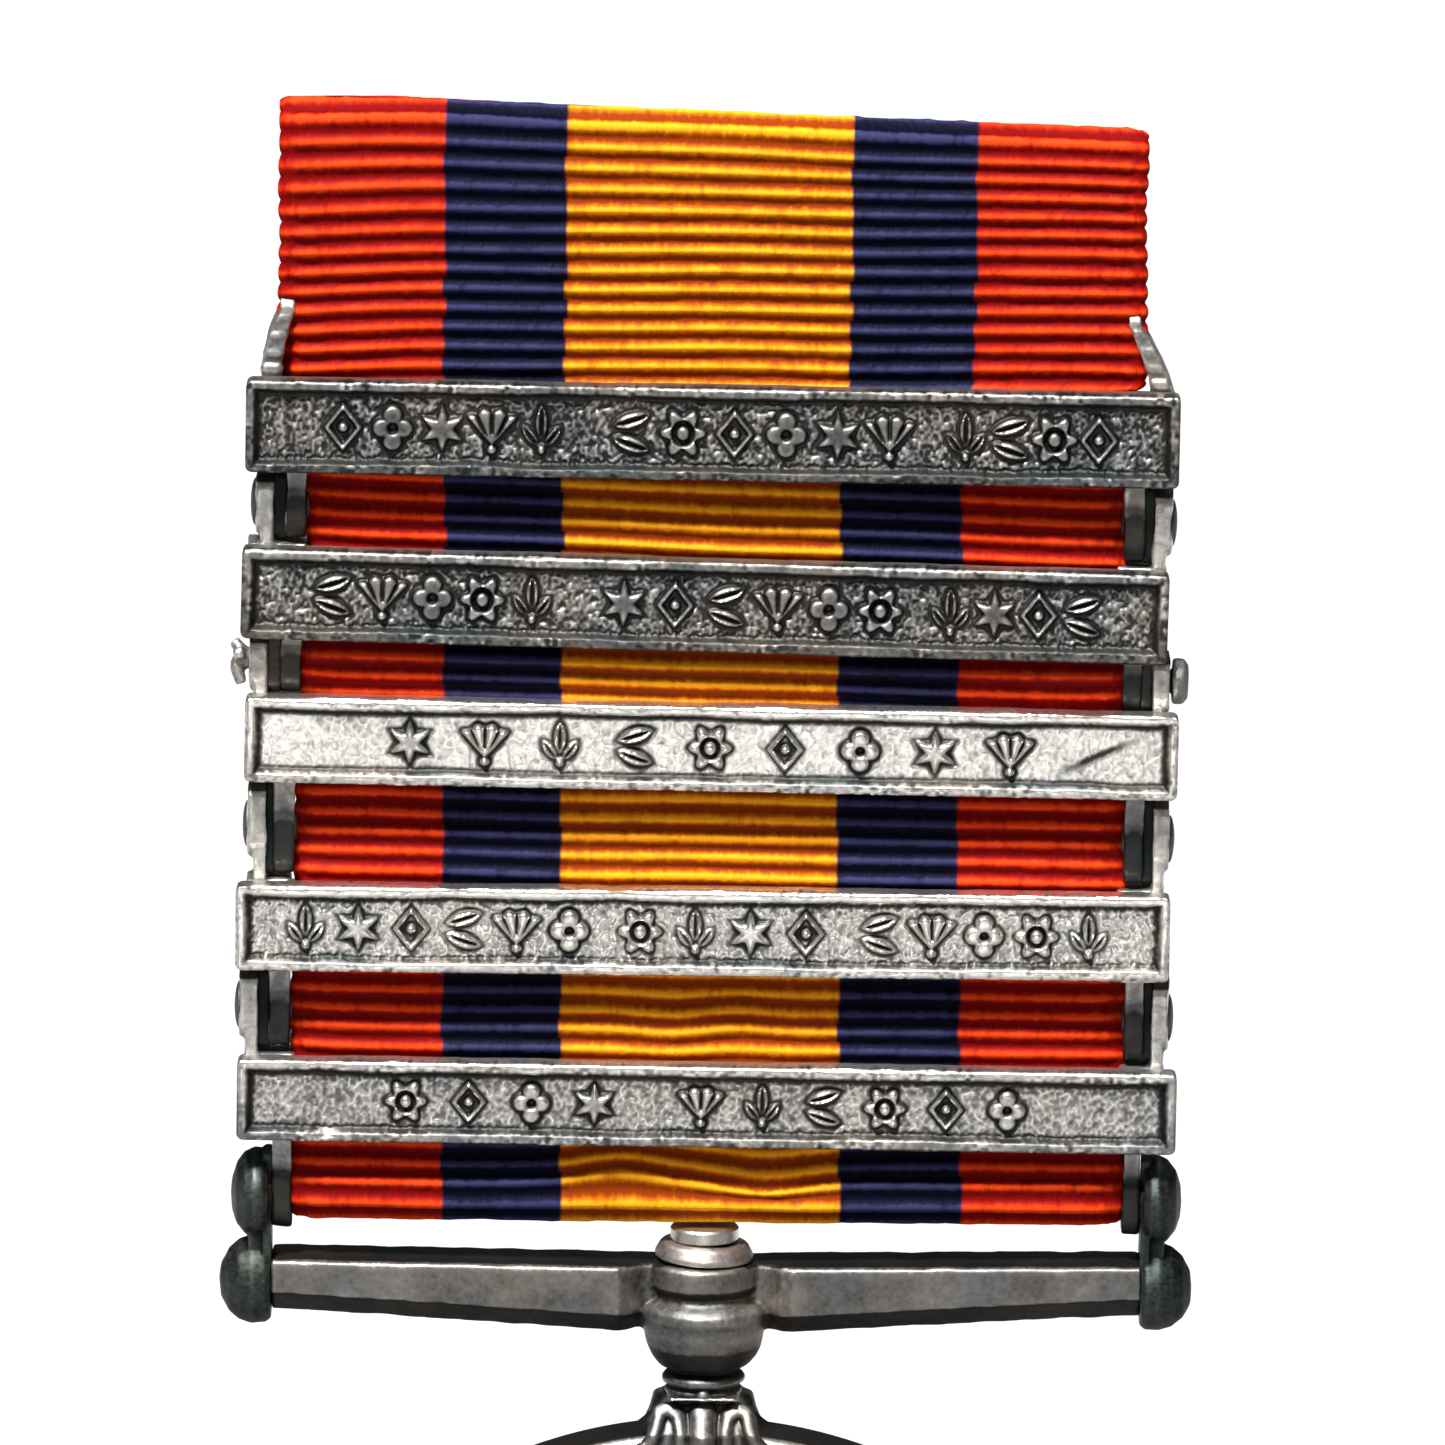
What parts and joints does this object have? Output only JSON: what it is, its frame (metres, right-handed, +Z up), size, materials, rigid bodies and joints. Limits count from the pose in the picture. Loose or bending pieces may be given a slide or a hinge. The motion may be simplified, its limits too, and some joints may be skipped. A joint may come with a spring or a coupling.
{
  "type": "service medal",
  "caption": "Service medal hung from a striped ribbon with riveted clasps, a straight swivelling suspender, a claw-mounted disc and a hinged brooch pin.",
  "frame": {"origin": "middle of the closed brooch pin's wire, behind the top of the ribbon", "axes": "+Z up along the hanging ribbon, -Y out of the front face, +X to the right as seen from the front"},
  "size_m": [0.036, 0.0062, 0.0855],
  "materials": {
    "silver": "struck silver, polished on the raised edges and toned dark grey in the recesses",
    "dark_silver": "toned silver of the lugs, rivets and washer, grey-brown with worn edges",
    "pin_steel": "drawn spring wire, satin grey",
    "ribbon": "corded silk moire ribbon striped red, navy, orange, navy and red, with fine cross ribs"
  },
  "bodies": {
    "brooch": {"brooch_bar": "silver", "pin_knuckle": "silver", "pin_rivet": "dark_silver", "pin_catch": "silver", "ribbon_fold": "ribbon"},
    "brooch_pin_wire": {"brooch_pin": "pin_steel"},
    "clasp_1": {"clasp_1_front": "silver", "clasp_1_back": "silver", "clasp_1_lug_left": "dark_silver", "clasp_1_lug_right": "dark_silver", "ribbon_1": "ribbon", "rivet_1_2_left": "dark_silver", "rivet_1_2_right": "dark_silver"},
    "clasp_2": {"clasp_2_front": "silver", "clasp_2_back": "silver", "clasp_2_lug_left": "dark_silver", "clasp_2_lug_right": "dark_silver", "ribbon_2": "ribbon", "long_pin_2_3": "pin_steel"},
    "clasp_3": {"clasp_3_front": "silver", "clasp_3_back": "silver", "clasp_3_lug_left": "dark_silver", "clasp_3_lug_right": "dark_silver", "ribbon_3": "ribbon", "rivet_3_4_left": "dark_silver", "rivet_3_4_right": "dark_silver"},
    "clasp_4": {"clasp_4_front": "silver", "clasp_4_back": "silver", "clasp_4_lug_left": "dark_silver", "clasp_4_lug_right": "dark_silver", "ribbon_4": "ribbon", "rivet_4_5_left": "dark_silver", "rivet_4_5_right": "dark_silver"},
    "clasp_5": {"clasp_5_front": "silver", "clasp_5_back": "silver", "clasp_5_lug_left": "dark_silver", "clasp_5_lug_right": "dark_silver", "ribbon_5": "ribbon"},
    "suspender": {"suspender_bar": "silver", "suspender_cheek_left": "silver", "suspender_cheek_right": "silver", "ribbon_rod": "silver", "swivel_washer": "dark_silver"},
    "medal": {"swivel_pin": "silver", "claw": "silver", "claw_pin": "silver", "medal_disc": "silver"}
  },
  "joints": [
    {"name": "pin_swing", "type": "hinge", "parent": "brooch", "child": "brooch_pin_wire", "pos_m": [0.0134, 0, 0], "axis": [0, 0, -1], "range_deg": [0, 75], "deforming": ["brooch_pin"]},
    {"name": "ribbon_flex", "type": "hinge", "parent": "brooch", "child": "clasp_1", "pos_m": [0, -0.0026, -0.0027], "axis": [-1, 0, 0], "range_deg": [-15, 40]},
    {"name": "clasp_hinge_1_2", "type": "hinge", "parent": "clasp_1", "child": "clasp_2", "pos_m": [-0.00007, -0.0026, -0.01228], "axis": [-0.9999, 0, 0.0153], "range_deg": [-20, 20]},
    {"name": "clasp_hinge_2_3", "type": "hinge", "parent": "clasp_2", "child": "clasp_3", "pos_m": [-0.00003, -0.0026, -0.01821], "axis": [-0.9999, 0, 0.0166], "range_deg": [-20, 20]},
    {"name": "clasp_hinge_3_4", "type": "hinge", "parent": "clasp_3", "child": "clasp_4", "pos_m": [-0.00003, -0.0026, -0.0243], "axis": [-1, 0, 0.0083], "range_deg": [-20, 20]},
    {"name": "clasp_hinge_4_5", "type": "hinge", "parent": "clasp_4", "child": "clasp_5", "pos_m": [-0.00007, -0.0026, -0.03111], "axis": [-1, 0, 0.0061], "range_deg": [-20, 20]},
    {"name": "suspender_hinge", "type": "hinge", "parent": "clasp_5", "child": "suspender", "pos_m": [0, -0.0026, -0.03805], "axis": [-1, 0, 0], "range_deg": [-60, 60]},
    {"name": "swivel", "type": "hinge", "parent": "suspender", "child": "medal", "pos_m": [0, -0.0026, -0.0427], "axis": [0, 0, 1], "continuous": true}
  ]
}
